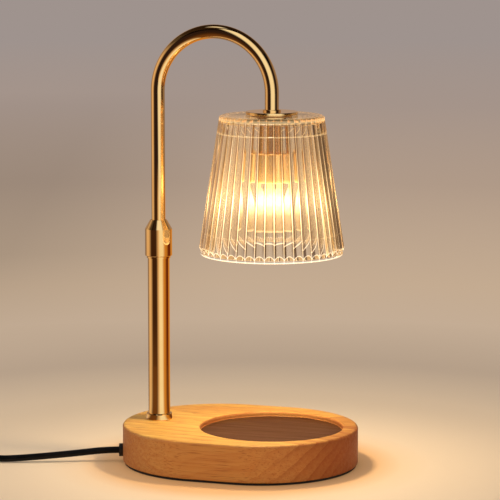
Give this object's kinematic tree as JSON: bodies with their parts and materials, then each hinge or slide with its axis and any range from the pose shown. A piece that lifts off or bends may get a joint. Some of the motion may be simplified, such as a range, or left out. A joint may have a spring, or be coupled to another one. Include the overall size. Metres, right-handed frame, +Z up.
{
  "type": "candle warmer lamp",
  "caption": "Candle warmer lamp: oval wooden base with a candle recess, telescopic brass pole with a hooked arm, fluted glass shade over a reflector bulb, cord with dimmer.",
  "frame": {"origin": "centre of the base's underside, on the surface the lamp stands on", "axes": "+Z up, +X along the base from the pole's end towards the shade, +Y to the back"},
  "size_m": [0.5163, 0.168, 0.3797],
  "materials": {
    "oiled_wood": "fine straight grain, satin oil",
    "black_pad": "closed-cell foam sheet, matte",
    "zinc_steel": "zinc-plated sheet and screws",
    "polished_brass": "polished warm gold plating, lacquered",
    "turned_brass": "plain turned brass, unpolished",
    "black_rubber": "moulded, satin",
    "black_sheath": "ribbed cord sheath, satin",
    "black_plastic": "fine moulded texture",
    "white_nylon": "natural nylon",
    "wire_insulation": "silicone-insulated conductors",
    "clear_glass": "pressed clear glass, warm",
    "clear_silicone": "translucent washer",
    "white_ceramic": "unglazed steatite",
    "spring_steel": "spring strip",
    "contact_copper": "copper alloy strip",
    "bulb_ceramic": "white bulb base",
    "bulb_metal": "nickel-plated pins",
    "bulb_glass": "facetted reflector glass with a thin coating",
    "quartz": "clear quartz",
    "tungsten": "glowing wire, emissive",
    "circuit_board": "solder mask"
  },
  "bodies": {
    "base": {"wood_base": "oiled_wood", "base_pad": "black_pad", "cover_plate": "zinc_steel", "cover_screws": "zinc_steel", "cord_grommet": "black_rubber", "inner_cord": "black_sheath", "cord_clamp": "white_nylon", "clamp_screws": "zinc_steel", "base_wires": "wire_insulation", "pole_nut": "zinc_steel", "pole_washer": "zinc_steel", "pole_nipple": "zinc_steel", "tube_plug": "turned_brass", "foot_ring": "polished_brass", "lower_tube": "polished_brass", "tube_ferrule": "polished_brass", "collet": "white_nylon", "lamp_cord": "black_sheath", "dimmer_lower_shell": "black_plastic", "dimmer_upper_shell": "black_plastic", "dimmer_reliefs": "black_rubber", "dimmer_pot": "black_plastic", "dimmer_board": "circuit_board", "dimmer_screws": "zinc_steel", "supply_cord": "black_sheath", "cord_coil": "black_sheath", "cord_tail": "black_sheath", "plug_body": "black_rubber", "plug_blades": "bulb_metal"},
    "collar": {"lock_collar": "polished_brass"},
    "carriage": {"guide_bush": "white_nylon"},
    "arm": {"bush_clips": "spring_steel", "arm_tube": "polished_brass", "arm_wires": "wire_insulation", "end_ring": "polished_brass", "shade_disc": "polished_brass", "shade_nipple": "zinc_steel", "upper_gasket": "clear_silicone", "glass_shade": "clear_glass", "lower_gasket": "clear_silicone", "holder_neck": "polished_brass", "holder_cup": "polished_brass", "lamp_holder": "white_ceramic", "holder_screws": "zinc_steel", "holder_contacts": "contact_copper", "bulb_base": "bulb_ceramic", "bulb_pins": "bulb_metal", "bulb_reflector": "bulb_glass", "bulb_lens": "bulb_glass", "bulb_capsule": "quartz", "bulb_filament": "tungsten"},
    "dial": {"dimmer_dial": "black_plastic"}
  },
  "joints": [
    {"name": "collar_turn", "type": "hinge", "parent": "base", "child": "collar", "pos_m": [-0.0745, 0, 0.19], "axis": [0, 0, 1], "range_deg": [0, 180]},
    {"name": "arm_slide", "type": "slide", "parent": "base", "child": "carriage", "axis": [0, 0, 1], "range_m": [-0.09, 0.015]},
    {"name": "arm_swivel", "type": "hinge", "parent": "carriage", "child": "arm", "pos_m": [-0.0745, 0, 0.19], "axis": [0, 0, 1], "range_deg": [-180, 180]},
    {"name": "dial_turn", "type": "hinge", "parent": "base", "child": "dial", "pos_m": [-0.302, -0.066, 0.02], "axis": [0, 0, 1], "range_deg": [-135, 135]}
  ]
}
